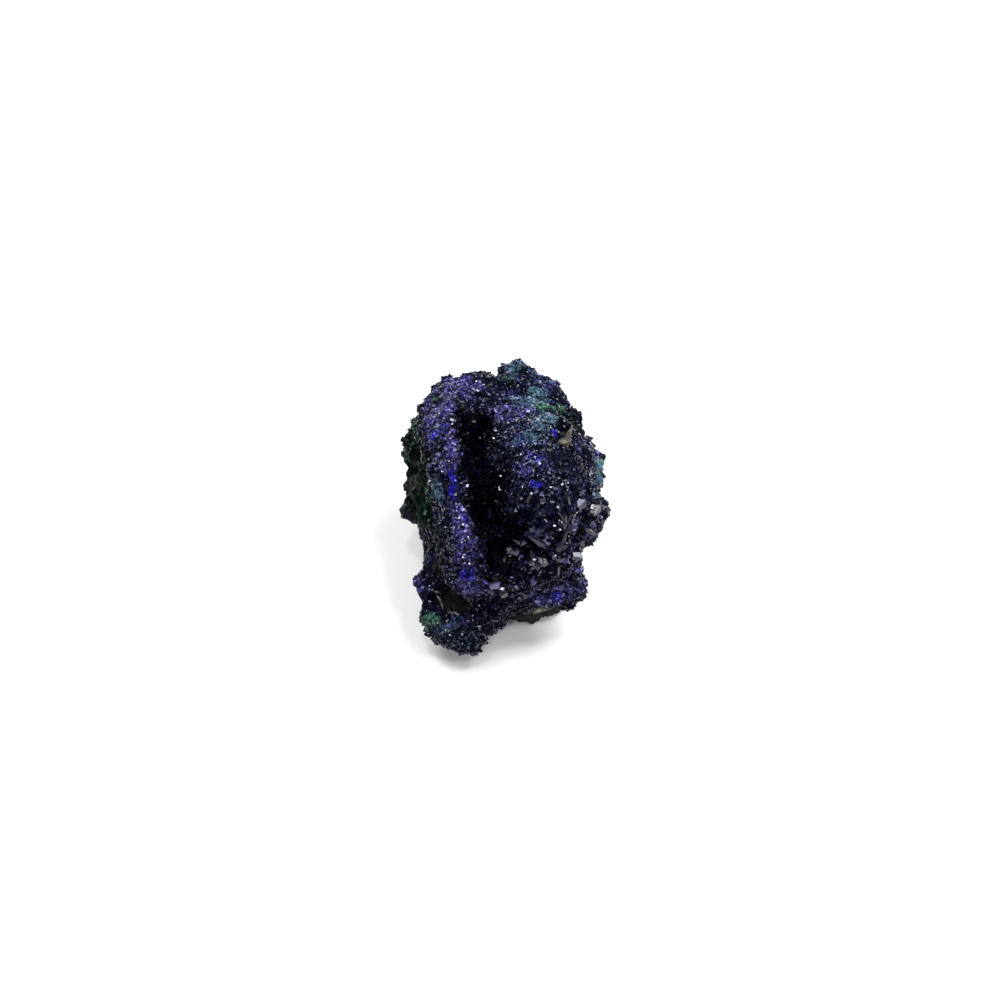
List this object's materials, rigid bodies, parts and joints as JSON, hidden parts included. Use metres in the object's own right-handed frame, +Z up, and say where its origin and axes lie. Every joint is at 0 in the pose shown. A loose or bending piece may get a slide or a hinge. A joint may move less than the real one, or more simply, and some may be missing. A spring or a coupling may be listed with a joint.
{
  "type": "azurite specimen",
  "caption": "Small azurite crystal cluster: a ridge and a dome with a crystal-lined cleft between them, on a foot of limonite host rock that it rests on.",
  "frame": {"origin": "middle of the footprint's bounding box, on the surface that the specimen rests on", "axes": "+Z up, +Y along the specimen's length toward its back end, +X to the right across it, with the ridge at -X and the dome at +X"},
  "size_m": [0.013, 0.0182, 0.0118],
  "materials": {
    "azurite": "vitreous, near-black blue with violet and green zones",
    "azurite_crust": "vitreous, near-black blue",
    "limonite": "earthy matt tan and brown"
  },
  "bodies": {
    "root": {"azurite_mass": "azurite", "cleft_crystals": "azurite_crust", "limonite_matrix": "limonite"}
  },
  "joints": []
}
